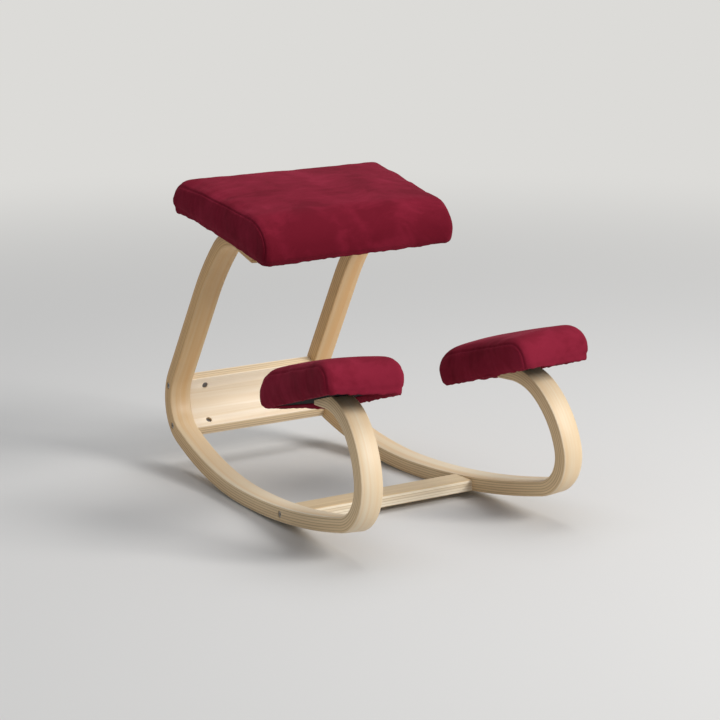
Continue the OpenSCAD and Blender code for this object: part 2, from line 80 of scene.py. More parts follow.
CAMERA_AT = (-2.091, -3.245, 1.131)
CAMERA_YAW, CAMERA_PITCH = math.radians(32.98), math.radians(13.17)
CAMERA_LENS, SENSOR = 122.2, 36


def make_camera():
    """The camera at the photograph's angle."""
    data = bpy.data.cameras.new("camera")
    data.lens, data.sensor_width = CAMERA_LENS, SENSOR
    data.clip_start, data.clip_end = 0.05, 60
    camera = bpy.data.objects.new("camera", data)
    camera.location = CAMERA_AT
    camera.rotation_euler = (math.pi / 2 - CAMERA_PITCH, 0, -CAMERA_YAW)
    bpy.context.scene.collection.objects.link(camera)
    bpy.context.scene.camera = camera


def link(name, mesh):
    """A new object in the scene."""
    piece = bpy.data.objects.new(name, mesh)
    bpy.context.scene.collection.objects.link(piece)
    return piece


def area_light(name, at, aim, size, power, colour):
    """A square lamp that looks from one point at another."""
    data = bpy.data.lights.new(name, "AREA")
    data.shape, data.size, data.energy, data.color = "SQUARE", size, power, colour
    lamp = bpy.data.objects.new(name, data)
    lamp.location = at
    lamp.rotation_euler = (Vector(aim) - Vector(at)).to_track_quat("-Z", "Y").to_euler()
    bpy.context.scene.collection.objects.link(lamp)


# Materials

class Nodes:
    """A material's node tree with short calls for its usual nodes."""

    def __init__(self, name):
        self.material = bpy.data.materials.new(name)
        self.material.use_nodes = True
        self.tree = self.material.node_tree
        self.shader = self.tree.nodes["Principled BSDF"]
        self.output = self.tree.nodes["Material Output"]

    def add(self, kind, values=None, **settings):
        made = self.tree.nodes.new(kind)
        for key, value in settings.items():
            setattr(made, key, value)
        for key, value in (values or {}).items():
            self.put(made.inputs[key], value)
        return made

    def put(self, socket, value):
        if isinstance(value, bpy.types.NodeSocket):
            self.tree.links.new(value, socket)
        else:
            socket.default_value = value

    def maths(self, operation, a, b=None, c=None, clamp=False):
        made = self.add("ShaderNodeMath", operation=operation, use_clamp=clamp)
        for socket, value in zip(made.inputs, (a, b, c)):
            if value is not None:
                self.put(socket, value)
        return made.outputs[0]

    def scaled(self, vector, factors):
        made = self.add("ShaderNodeVectorMath", {0: vector, 1: factors}, operation="MULTIPLY")
        return made.outputs[0]

    def noise(self, vector, scale, detail=3, rough=0.55, warp=0):
        values = {"Vector": vector, "Scale": scale, "Detail": detail}
        values |= {"Roughness": rough, "Distortion": warp}
        return self.add("ShaderNodeTexNoise", values).outputs["Fac"]

    def dot(self, vector, other):
        made = self.add("ShaderNodeVectorMath", {0: vector, 1: other}, operation="DOT_PRODUCT")
        return made.outputs["Value"]

    def chance(self, value):
        made = self.add("ShaderNodeTexWhiteNoise", {"W": value}, noise_dimensions="1D")
        return made.outputs["Value"]

    def joined(self, x, y, z=0.0):
        return self.add("ShaderNodeCombineXYZ", {0: x, 1: y, 2: z}).outputs[0]

    def parted(self, vector):
        return self.add("ShaderNodeSeparateXYZ", {0: vector}).outputs[:3]

    def mix(self, share, a, b, blend="MIX"):
        made = self.add("ShaderNodeMix", data_type="RGBA", blend_type=blend)
        for key, value in ((0, share), (6, a), (7, b)):
            self.put(made.inputs[key], value)
        return made.outputs[2]

    def ramp(self, value, low, high):
        made = self.add("ShaderNodeMapRange", {"Value": value, "From Min": low, "From Max": high})
        made.interpolation_type = "SMOOTHSTEP"
        return made.outputs[0]

    def bump(self, height, strength, distance, normal=None):
        values = {"Height": height, "Strength": strength, "Distance": distance}
        if normal is not None:
            values["Normal"] = normal
        return self.add("ShaderNodeBump", values).outputs[0]

    def finish(self, **inputs):
        for key, value in inputs.items():
            self.put(self.shader.inputs[key.replace("_", " ")], value)
        return self.material


def rgb(text):
    """A linear colour from the sRGB colour that is seen."""
    parts = [int(text[i:i + 2], 16) / 255 for i in (0, 2, 4)]
    return tuple(p / 12.92 if p <= 0.04045 else ((p + 0.055) / 1.055) ** 2.4 for p in parts) + (1,)


def stored_grain(n):
    """The attribute "grain": metres along the fibres, through the plies and across."""
    return n.add("ShaderNodeAttribute", attribute_name="grain").outputs["Vector"]


# How fine the fibres, the figure and the clouds are: changes per metre along, through and across
FIBRE, FIGURE, CLOUD = (9, 700, 700), (1.6, 60, 60), (5, 14, 14)
# Depths between which the face veneer's colour gives way to the plies on an edge
FACE_PLY, FACE_FADE = 0.8 * MM, 2.2 * MM
# Keeps the random strength of the glue lines apart from the random tone of the plies
JOINT_SHIFT = 40.5


def make_laminate(
    name, face, deep, edge, glue, ply, thickness, shine, leg_shade_tint=None, lies=stored_grain,
):
    """Lacquered veneers, with a glue line of its own strength between each two.

    "lies" gives each shaded point's place in the wood, and the tint after "shine" paints shade on the
    wood, warmer and darker more and more from the contact to the leg, which lies under the seat.
    """
    n = Nodes(name)
    grain = lies(n)
    along, through, _ = n.parted(grain)
    fibre = n.noise(n.scaled(grain, FIBRE), 1, detail=4, rough=0.6)
    figure = n.noise(n.scaled(grain, FIGURE), 1, detail=3, rough=0.5, warp=0.8)
    cloud = n.noise(n.scaled(grain, CLOUD), 1, detail=2)
    off_middle = n.maths("ABSOLUTE", through)
    on_edge = n.ramp(off_middle, thickness / 2 - FACE_PLY, thickness / 2 - FACE_FADE)
    level = n.maths("DIVIDE", through, ply)
    tone = n.chance(n.maths("FLOOR", level))
    joint = n.maths("ROUND", level)
    strength = n.maths("MULTIPLY_ADD", n.chance(n.maths("ADD", joint, JOINT_SHIFT)), 0.7, 0.3)
    to_joint = n.maths("ABSOLUTE", n.maths("SUBTRACT", level, joint))
    wander = n.noise(n.joined(n.maths("MULTIPLY", along, 7), joint), 1)
    line = n.maths("MULTIPLY", n.ramp(to_joint, 0.2, 0.06), n.ramp(wander, 0.2, 0.45))
    line = n.maths("MULTIPLY", line, strength)
    skin = n.mix(n.ramp(figure, 0.3, 0.75), face, deep)
    skin = n.mix(n.maths("MULTIPLY", n.ramp(fibre, 0.45, 0.8), 0.4), skin, deep)
    plies = n.mix(n.maths("MULTIPLY", tone, 0.7), edge, deep)
    plies = n.mix(n.maths("MULTIPLY", n.ramp(fibre, 0.4, 0.75), 0.22), plies, glue)
    plies = n.mix(n.maths("MULTIPLY", line, 0.45), plies, glue)
    colour = n.mix(on_edge, skin, plies)
    colour = n.mix(n.maths("MULTIPLY", cloud, 0.18), colour, deep, blend="MULTIPLY")
    # Painted shade: the wood turns warmer and darker towards the leg under the seat
    if leg_shade_tint is not None:
        colour = n.mix(n.ramp(along, 0.1, -0.5), colour, leg_shade_tint, blend="MULTIPLY")
    rough = n.maths("MULTIPLY_ADD", fibre, 0.16, shine)
    rough = n.maths("ADD", rough, n.maths("MULTIPLY", on_edge, 0.12))
    sunk = n.maths("MULTIPLY", line, on_edge)
    height = n.maths("SUBTRACT", n.maths("MULTIPLY", fibre, 0.5), sunk)
    normal = n.bump(height, 0.15, 0.15 * MM)
    return n.finish(Base_Color=colour, Roughness=rough, Normal=normal, Specular_IOR_Level=0.4)


# How fine the suede's drift, patches, strokes, threads and fuzz are, in changes per metre
DRIFT, PATCHES, STROKES, THREADS, FUZZ = 6.0, 11, 24, 420, 1300


def make_suede(name, deep, mid, pale):
    """Brushed cloth. The nap lies in drifting patches and strokes, under a fine fuzz.

    The attribute "cloth" holds metres in the cushion's own frame, and the second attribute paints
    light and shade on the cloth: above 0 it paints it paler, below 0 darker.
    """
    n = Nodes(name)
    place = n.add("ShaderNodeAttribute", attribute_name="cloth").outputs["Vector"]
    drift = n.add("ShaderNodeTexNoise", {"Vector": place, "Scale": DRIFT, "Detail": 2.0})
    push = n.scaled(drift.outputs["Color"], (0.1, 0.1, 0.1))
    pushed = n.add("ShaderNodeVectorMath", {0: push, 1: place}, operation="ADD").outputs[0]
    patches = n.noise(pushed, PATCHES, detail=3, rough=0.5, warp=0.5)
    strokes = n.noise(n.scaled(pushed, (1, 3.4, 1)), STROKES, detail=5, rough=0.62, warp=0.4)
    painted_light_shade = n.add("ShaderNodeAttribute", attribute_name="painted_light_shade").outputs["Fac"]
    nap = n.maths("ADD", n.maths("MULTIPLY", patches, 0.6), n.maths("MULTIPLY", strokes, 0.4))
    # Painted light and shade on the cushion's front are added to the nap's random patches and strokes
    nap = n.maths("ADD", nap, painted_light_shade)
    fuzz = n.noise(place, FUZZ, detail=2)
    colour = n.mix(n.ramp(nap, 0.36, 0.52), deep, mid)
    colour = n.mix(n.maths("MULTIPLY", n.ramp(nap, 0.5, 0.64), 0.8), colour, pale)
    colour = n.mix(n.maths("MULTIPLY", n.ramp(fuzz, 0.4, 0.8), 0.25), colour, deep)
    threads = n.noise(place, THREADS, detail=3)
    height = n.maths("ADD", n.maths("MULTIPLY", fuzz, 0.6), n.maths("MULTIPLY", threads, 0.4))
    return n.finish(
        Base_Color=colour, Roughness=0.9, Normal=n.bump(height, 0.3, 0.35 * MM),
        Sheen_Weight=0.08, Sheen_Roughness=0.4, Sheen_Tint=(0.85, 0.2, 0.3, 1),
        Specular_IOR_Level=0.08,
    )


def make_metal(name, colour, rough):
    """Plain metal with faint marks."""
    n = Nodes(name)
    place = n.add("ShaderNodeTexCoord").outputs["Object"]
    marks = n.noise(place, 900, detail=4, rough=0.7)
    worn = n.mix(n.maths("MULTIPLY", n.ramp(marks, 0.5, 0.8), 0.35), colour, (0.4, 0.39, 0.38, 1))
    return n.finish(
        Base_Color=worn, Metallic=1.0, Roughness=n.maths("MULTIPLY_ADD", marks, 0.25, rough),
        Normal=n.bump(marks, 0.1, 0.05 * MM),
    )


def make_nonwoven(name, colour):
    """Pressed fibres, as under upholstery."""
    n = Nodes(name)
    place = n.add("ShaderNodeTexCoord").outputs["Object"]
    weave = n.add("ShaderNodeTexVoronoi", {"Vector": place, "Scale": 420.0}).outputs["Distance"]
    threads = n.noise(place, 700, detail=3)
    height = n.maths("ADD", weave, threads)
    shade = n.mix(n.maths("MULTIPLY", threads, 0.4), colour, (0.03, 0.03, 0.032, 1))
    normal = n.bump(height, 0.4, 0.2 * MM)
    return n.finish(Base_Color=shade, Roughness=0.95, Normal=normal, Specular_IOR_Level=0.1)


# Paler than the runners' birch: a pale veneer with painted light added, as the key lamp leaves the
# panel's face in shade
PANEL_VENEER = make_laminate(
    "panel_veneer", rgb("FBEEDB"), rgb("EDD8B9"), rgb("E8D0AA"), rgb("8A6840"),
    4.5 * MM, PANEL_T, shine=0.34,
)
# Painted shade on the bar's top through a darker face veneer; the ply edges along its front are their
# own pale birch with painted light added
BAR_WOOD = make_laminate(
    "bar_wood", rgb("DCC6A2"), rgb("CCB28A"), rgb("FFF5DF"), rgb("A88658"),
    4.4 * MM, BAR_T, shine=0.36,
)
RAW_PLY = make_laminate(
    "raw_ply", rgb("C9AF85"), rgb("AD9166"), rgb("A08258"), rgb("6A4E30"),
    1.5 * MM, BOARD_T, shine=0.5,
)
SUEDE = make_suede("wine_suede", rgb("661122"), rgb("75182B"), rgb("842035"))
BLACK_CLOTH = make_nonwoven("black_cloth", (0.008, 0.008, 0.009, 1))
BOLT_STEEL = make_metal("bolt_steel", (0.4, 0.37, 0.33, 1), 0.38)
# Zinc darkened well below its own colour: painted shade for the nuts sunk in the panel's holes
ZINC = make_metal("zinc", (0.22, 0.21, 0.2, 1), 0.3)


# Where a point lies on a runner

# Places looked at along each stretch to find a runner's box
SHIFT_STEPS = 60
# Keeps the grain of the two runners apart
SIDE_SHIFT = 0.2
# Lets the nearer of two stretches win where both hold a point, and a score that each of them beats
NEARER, BEATEN = 0.003, 1000.0


def turned(radius, start, end):
    """The step along a left-hand bend from one heading to another."""
    return radius * np.array([math.sin(end) - math.sin(start), math.cos(start) - math.cos(end)])


def stretches():
    """The runner's centreline in stretches.

    Each is (start, heading there, heading at its end, radius or length, metres run until there,
    way). Metres count from the contact, and behind it they are negative.
    """
    made = []
    for chain, way in ((FORWARD, 1), (BACKWARD, -1)):
        point, heading, run = np.array([0, STRIP_T / 2]), 0.0, 0.0
        for size, end in chain:
            end = math.radians(end)
            made.append((point, heading, end, size, run, way))
            if end == heading:
                point = point + way * size * np.array([math.cos(heading), math.sin(heading)])
                run += way * size
            else:
                point = point + turned(size, heading, end)
                run += size * (end - heading)
            heading = end
    return made


def side_matrix(side):
    """From the plane of a runner to the chair before runner_shift.

    In the plane, x runs forwards, y upwards, and z outwards from the runner's inner side.
    """
    splay = Matrix.Rotation(-math.pi / 2 - SPLAY, 4, "Z")
    turn = splay @ Matrix.Rotation(math.pi / 2 - LEAN, 4, "X")
    matrix = Matrix.Translation((-STANCE_W / 2, 0, 0)) @ turn
    return Matrix.Diagonal((-1, 1, 1, 1)) @ matrix if side > 0 else matrix


def vertex_array(mesh, what="co"):
    """The places of a mesh's vertices, or their normals, as rows of x, y and z."""
    flat = np.zeros(len(mesh.vertices) * 3, np.float32)
    mesh.vertices.foreach_get(what, flat)
    return flat.reshape(-1, 3).astype(float)


def give_grain(node, places):
    """Stores where each vertex lies in the wood, which the laminate reads."""
    held = node.data.attributes.new("grain", "FLOAT_VECTOR", "POINT")
    held.data.foreach_set("vector", places.astype(np.float32).ravel())


def runner_shift():
    """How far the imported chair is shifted, from the box of the right runner."""
    corners = []
    for start, heading, end, size, _, way in stretches():
        ahead = np.array([math.cos(heading), math.sin(heading)])
        for share in np.linspace(0, 1, SHIFT_STEPS):
            turn = heading + (end - heading) * share
            if end == heading:
                centre = start + way * size * share * ahead
            else:
                centre = start + turned(size, heading, turn)
            out = np.array([math.sin(turn), -math.cos(turn)])
            for v in (-STRIP_T / 2, STRIP_T / 2):
                for w in (0, STRIP_W):
                    corners.append((*(centre + v * out), w))
    matrix = side_matrix(-1)
    placed = np.array([matrix @ Vector(p) for p in corners])
    low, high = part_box("runner_right")
    middle = (placed[:, 1].min() + placed[:, 1].max()) / 2
    return Vector((0, (low[1] + high[1]) / 2 - middle, low[2] - placed[:, 2].min()))


def runner_grain(n):
    """Metres along a runner's strip, through its plies and across it, for each shaded point.

    The left runner is folded onto the right one, and the point is laid into the runner's plane.
    The stretch whose strip holds the point gives its place.
    """
    inverse = (Matrix.Translation(runner_shift()) @ side_matrix(-1)).inverted()
    x, y, z = n.parted(n.add("ShaderNodeTexCoord").outputs["Object"])
    folded = n.joined(n.maths("MULTIPLY", n.maths("ABSOLUTE", x), -1), y, z)
    flat = [n.maths("ADD", n.dot(folded, tuple(inverse[i][:3])), inverse[i][3]) for i in range(3)]
    point = n.joined(flat[0], flat[1])
    best, along, through = BEATEN, 0.0, 0.0
    for start, heading, end, size, run, way in stretches():
        middle = (heading + end) / 2
        ahead = (math.cos(middle), math.sin(middle), 0)
        out = (math.sin(middle), -math.cos(middle), 0)
        straight = end == heading
        if straight:
            half, unit, at_middle = size / 2, 1.0, run + way * size / 2
            centre = start + way * size / 2 * np.array(ahead[:2])
        else:
            half, unit, at_middle = abs(end - heading) / 2, size, run + size * (middle - heading)
            centre = start + size * np.array([-math.sin(heading), math.cos(heading)])
        away = n.add("ShaderNodeVectorMath", {0: point, 1: (*centre, 0)}, operation="SUBTRACT")
        away = away.outputs[0]
        if straight:
            t, off = n.dot(away, ahead), n.dot(away, out)
        else:
            t = n.maths("ARCTAN2", n.dot(away, ahead), n.dot(away, out))
            off = n.maths("SUBTRACT", n.maths("SQRT", n.dot(away, away)), size)
        over = n.maths("MAXIMUM", n.maths("SUBTRACT", n.maths("ABSOLUTE", t), half), 0.0)
        proud = n.maths("MAXIMUM", n.maths("SUBTRACT", n.maths("ABSOLUTE", off), STRIP_T / 2), 0.0)
        score = n.maths("MULTIPLY_ADD", over, unit, proud)
        score = n.maths("MULTIPLY_ADD", n.maths("ABSOLUTE", off), NEARER, score)
        held = n.maths("MAXIMUM", n.maths("MINIMUM", t, half), -half)
        here = n.maths("MULTIPLY_ADD", held, unit, at_middle)
        closer = n.maths("LESS_THAN", score, best)
        along = n.maths("MULTIPLY_ADD", closer, n.maths("SUBTRACT", here, along), along)
        through = n.maths("MULTIPLY_ADD", closer, n.maths("SUBTRACT", off, through), through)
        best = n.maths("MINIMUM", score, best)
    across = n.maths("MULTIPLY_ADD", n.maths("SIGN", x), SIDE_SHIFT, flat[2])
    return n.joined(along, through, across)


# Finishes of the solids

# The runners' last tint is painted shade, warmer and darker towards the legs under the seat
BIRCH = make_laminate(
    "birch_laminate", rgb("E5D7BE"), rgb("DFC196"), rgb("E8CFA6"), rgb("6E4C2A"),
    4.2 * MM, STRIP_T, shine=0.36, leg_shade_tint=(0.9, 0.75, 0.56, 1), lies=runner_grain,
)


def smooth_modifier():
    """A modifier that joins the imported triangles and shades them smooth, apart from sharp edges."""
    group = bpy.data.node_groups.new("smooth_by_angle", "GeometryNodeTree")
    group.interface.new_socket("Geometry", in_out="INPUT", socket_type="NodeSocketGeometry")
    group.interface.new_socket("Geometry", in_out="OUTPUT", socket_type="NodeSocketGeometry")
    add, join = group.nodes.new, group.links.new
    start, end = add("NodeGroupInput"), add("NodeGroupOutput")
    merge = add("GeometryNodeMergeByDistance")
    merge.inputs["Distance"].default_value = WELD_GAP
    faces = add("GeometryNodeSetShadeSmooth")
    edges = add("GeometryNodeSetShadeSmooth")
    edges.domain = "EDGE"
    edges.inputs["Shade Smooth"].default_value = False
    angle = add("GeometryNodeInputMeshEdgeAngle")
    sharp = add("FunctionNodeCompare")
    sharp.data_type, sharp.operation = "FLOAT", "GREATER_THAN"
    sharp.inputs[1].default_value = SHARP_TURN
    join(start.outputs[0], merge.inputs["Geometry"])
    join(merge.outputs[0], faces.inputs["Geometry"])
    join(faces.outputs[0], edges.inputs["Geometry"])
    join(angle.outputs["Unsigned Angle"], sharp.inputs[0])
    join(sharp.outputs[0], edges.inputs["Selection"])
    join(edges.outputs[0], end.inputs[0])
    return group


SMOOTH = smooth_modifier()


def dress(node_name, material, bevel=0.0):
    """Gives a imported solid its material, smooth shading and, where asked, rounded edges."""
    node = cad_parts[node_name]
    node.data.materials.clear()
    node.data.materials.append(material)
    custom = node.data.attributes.get("custom_normal")
    if custom is not None:
        node.data.attributes.remove(custom)
    if bevel:
        modifier = node.modifiers.new("weld", "WELD")
        modifier.merge_threshold = WELD_GAP
        modifier = node.modifiers.new("bevel", "BEVEL")
        modifier.width, modifier.segments = bevel, 2
        modifier.limit_method, modifier.angle_limit = "ANGLE", SHARP_TURN
        modifier.use_clamp_overlap = True
    modifier = node.modifiers.new("smooth", "NODES")
    modifier.node_group = SMOOTH
    return node


def dress_runners():
    for name in SIDES:
        dress(f"runner_{name}", BIRCH)


def dress_panel():
    """The panel's fibres run across the chair, and its plies follow the heel bend."""
    node = dress("rear_panel", PANEL_VENEER, bevel=0.6 * MM)
    middle_r = HEEL_R - STRIP_T / 2 + PANEL_BACK + PANEL_T / 2
    start, heading = [s[:2] for s in stretches() if s[3] == HEEL_R][0]
    centre = start + HEEL_R * np.array([-math.sin(heading), math.cos(heading)])
    axis = Matrix.Translation(runner_shift()) @ side_matrix(-1) @ Vector((centre[0], centre[1], 0))
    points = vertex_array(node.data)
    y, z = points[:, 1] - axis.y, points[:, 2] - axis.z
    through = np.hypot(y, z) - middle_r
    give_grain(node, np.stack([points[:, 0], through, np.arctan2(y, -z) * HEEL_R], axis=1))


def dress_bar():
    """The bar's plies lie level, so their edges show along its front."""
    node = dress("front_crossbar", BAR_WOOD)
    points = vertex_array(node.data)
    low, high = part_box("front_crossbar")
    middle = (np.array(low) + np.array(high)) / 2
    x, y, z = (points - middle).T
    give_grain(node, np.stack([x, z, y], axis=1))


# Cushions

# The functions below call such a table c. Widths end in _w and thicknesses in _t. Each pair of
# radii is (along the depth, upwards). "droop" is how far the hem hangs, "lift" how unevenly it does
# so from side to side, "wave" the height of its waves, and "corner_droop" how much farther it hangs
# at the front right, front left, rear right and rear left. "draw" is how far the cloth pulls the
# sides in. The key before "seed" is painted light on the cover's front when above 0 and painted
# shade on it when below 0: the seat's front is painted darker and the knee pads' fronts paler.
SEAT = {
    "front_w": 360 * MM, "rear_w": 402 * MM, "depth": 274 * MM,
    "front_t": 62 * MM, "rear_t": 45 * MM, "crown": 6 * MM,
    "edge_r": 12 * MM, "rear_edge_r": 22 * MM,
    "front_r": (57 * MM, 45 * MM), "rear_r": (28 * MM, 26 * MM),
    "droop": 5 * MM, "corner_droop": (0, -5 * MM, 7 * MM, 4 * MM), "lift": 0.35,
    "wave": 1.3 * MM, "draw": 3 * MM, "front_painted_light_shade": -0.12, "seed": 3,
}
PAD = {
    "front_w": 138 * MM, "rear_w": 138 * MM, "depth": 230 * MM,
    "front_t": 47 * MM, "rear_t": 54 * MM, "crown": 4.5 * MM,
    "edge_r": 15 * MM, "rear_edge_r": 20 * MM,
    "front_r": (36 * MM, 32 * MM), "rear_r": (44 * MM, 30 * MM),
    "droop": 6.5 * MM, "corner_droop": (0, 0, 0, 0), "lift": 0.65,
    "wave": 2 * MM, "draw": 2 * MM, "front_painted_light_shade": 0.1, "seed": 11,
}
# The hem's width and thickness, how far in the board's edge lies, and the gap round the board
HEM_W, HEM_T, BOARD_INSET, FIT = 13 * MM, 2 * MM, 6 * MM, 0.3 * MM
# How high the foot of a cushion's sides is rounded, and how far in it comes
FOOT_H, FOOT_IN = 14 * MM, 3.2 * MM
# How far a side panel swells, the number of its rows, and how far the hem's folds move in and out
SIDE_SWELL, SIDE_ROWS, FOLD_D = 1.6 * MM, 9, 1.2 * MM
# Points round each rounded end of a cushion's side
ARC_STEPS = 24
# Length at the rear over which the rounding grows, and where it stops growing before the rear
REAR_ROUND, REAR_STOP = 90 * MM, 10 * MM
# Spacing of the points along and across the long panel, and the turn of its edge at the seam
GAP_ALONG, GAP_ACROSS, SEAM_TURN = 3 * MM, 4 * MM, math.radians(54)


def smoothstep(value, low, high):
    """From 0 at "low" to 1 at "high", without a corner."""
    t = np.clip((value - low) / (high - low), 0, 1)
    return t * t * (3 - 2 * t)


def side_line(c):
    """Points (y, z) and outward normals over a cushion, from its rear foot to its front foot."""
    half = c["depth"] / 2
    slope = (c["front_t"] - c["rear_t"]) / c["depth"]
    points = [(half, 0)]
    for (ry, rz), way, height, start in (
        (c["rear_r"], 1, c["rear_t"] + slope * c["rear_r"][0], 0),
        (c["front_r"], -1, c["front_t"] - slope * c["front_r"][0], 90),
    ):
        for i in range(ARC_STEPS + 1):
            a = math.radians(start + 90 * i / ARC_STEPS)
            points.append((way * (half - ry) + ry * math.cos(a), height - rz + rz * math.sin(a)))
    points.append((-half, 0))
    points = np.array(points)
    run = np.append(0, np.cumsum(np.hypot(*np.diff(points, axis=0).T)))
    places = np.linspace(0, run[-1], int(round(run[-1] / GAP_ALONG)) + 1)
    line = np.stack([np.interp(places, run, values) for values in points.T], axis=1)
    ahead = np.gradient(line, axis=0)
    for _ in range(3):
        ahead[1:-1] = (ahead[:-2] + 2 * ahead[1:-1] + ahead[2:]) / 4
    ahead /= np.hypot(ahead[:, 0], ahead[:, 1])[:, None]
    return line, np.stack([ahead[:, 1], -ahead[:, 0]], axis=1)


def half_width(c, y):
    """Half the width of a cushion at y, before its sides are drawn in."""
    half = c["depth"] / 2
    return (c["front_w"] + (c["rear_w"] - c["front_w"]) * (y + half) / c["depth"]) / 2


def drawn_in(c, y):
    """How far a side is pulled in at y by the cloth."""
    return c["draw"] * np.cos(math.pi * np.clip(y / c["depth"], -0.5, 0.5))


def edge_radius(c, y, z):
    """Rounding between the long panel and a side, which grows to the upper rear corners."""
    rear = smoothstep(y, c["depth"] / 2 - REAR_ROUND, c["depth"] / 2 - REAR_STOP)
    high = smoothstep(z, 8 * MM, c["rear_t"] * 0.9)
    return c["edge_r"] + (c["rear_edge_r"] - c["edge_r"]) * rear * high


def ripple(points, size, seed):
    """A smooth random value, about -1 to 1, for each point."""
    shift = Vector((seed * 7.1, seed * 3.7, seed))
    return np.array([noise.noise(Vector(p) / size + shift) for p in points])


class Skin:
    """A closed mesh built from loops of points: where each point lies, and what it belongs to."""

    def __init__(self):
        self.points, self.faces, self.on_seam, self.on_hem = [], [], [], []

    def add(self, point, seam=0.0, hem=0.0):
        self.points.append(point)
        self.on_seam.append(seam)
        self.on_hem.append(hem)
        return len(self.points) - 1

    def strip(self, one, two, closed=False):
        """Faces between two rows of points of one length."""
        last = len(one) if closed else len(one) - 1
        for i in range(last):
            j = (i + 1) % len(one)
            corners = []
            for corner in (one[i], one[j], two[j], two[i]):
                if corner not in corners:
                    corners.append(corner)
            if len(corners) > 2:
                self.faces.append(corners)


def edge_turns():
    """Turns round a panel's edge, crowded at the seam, and how deep the seam draws each one in."""
    wide = [math.radians(a) for a in (0, 12, 24, 34)]
    near = [SEAM_TURN + math.radians(a) for a in (-12, -6, 0, 6, 12)]
    rest = [math.radians(a) for a in (76, 90)]
    depth = [0, 0, 0, 0, -0.25, 0.15, 1, 0.15, -0.25, 0, 0]
    return list(zip(wide + near + rest, depth))


def panel_rows(skin, c):
    """The long panel over the rear, the top and the front, with both of its rounded edges."""
    line, normals = side_line(c)
    half = c["depth"] / 2
    turns = edge_turns()
    flat_n = int(c["front_w"] / GAP_ACROSS)
    rows = []
    for (y, z), (ny, nz) in zip(line, normals):
        row = []
        r = edge_radius(c, y, z)
        for k in range(-len(turns) + 1, flat_n + len(turns)):
            if 0 < k < flat_n:
                u, turn, seam = 2 * k / flat_n - 1, 0.0, 0.0
            else:
                u = 1 if k > 0 else -1
                turn, seam = turns[k - flat_n if k > 0 else -k]
            inset = r * (1 - math.cos(turn))
            at_y, at_z = y - ny * inset, z - nz * inset
            reach = half_width(c, at_y) - drawn_in(c, at_y)
            x = u * (reach - r + r * math.sin(turn))
            share = 1 - min(1, (x / reach) ** 2)
            crown = c["crown"] * share * (1 - (y / half) ** 2) * max(nz, 0) ** 2
            draw = c["draw"] * share * abs(ny) ** 2
            row.append(skin.add((x, at_y - math.copysign(draw, ny), at_z + crown), seam=seam))
        rows.append(row)
    for one, two in zip(rows, rows[1:]):
        skin.strip(one, two)
    return rows


def side_rows(skin, c, rows, side):
    """Fills one end of the long panel's rows, and returns the points along its foot."""
    edge = [row[-1 if side > 0 else 0] for row in rows]
    rear_y, front_y = skin.points[edge[0]][1], skin.points[edge[-1]][1]
    columns = []
    for i, top in enumerate(edge):
        share = i / (len(edge) - 1)
        if i in (0, len(edge) - 1):
            columns.append([top] * (SIDE_ROWS + 1))
            continue
        top_at = skin.points[top]
        foot_y = rear_y + (front_y - rear_y) * share
        column = [top]
        for k in range(1, SIDE_ROWS + 1):
            f = k / SIDE_ROWS
            y, z = top_at[1] + (foot_y - top_at[1]) * f, top_at[2] * (1 - f)
            swell = SIDE_SWELL * math.sin(math.pi * f) * math.sin(math.pi * share)
            x = side * (half_width(c, y) - drawn_in(c, y) + swell)
            column.append(skin.add((x, y, z)))
        columns.append(column)
    for one, two in zip(columns, columns[1:]):
        if side > 0:
            skin.strip(one, two)
        else:
            skin.strip(two, one)
    return [column[-1] for column in columns]


def round_foot(skin, c):
    """Rounds the foot of the sides towards the hem."""
    for i, (x, y, z) in enumerate(skin.points):
        if z < FOOT_H:
            d = FOOT_IN * (1 - math.sqrt(1 - (1 - max(z, 0) / FOOT_H) ** 2))
            skin.points[i] = (x * (1 - d / half_width(c, y)), y * (1 - 2 * d / c["depth"]), z)


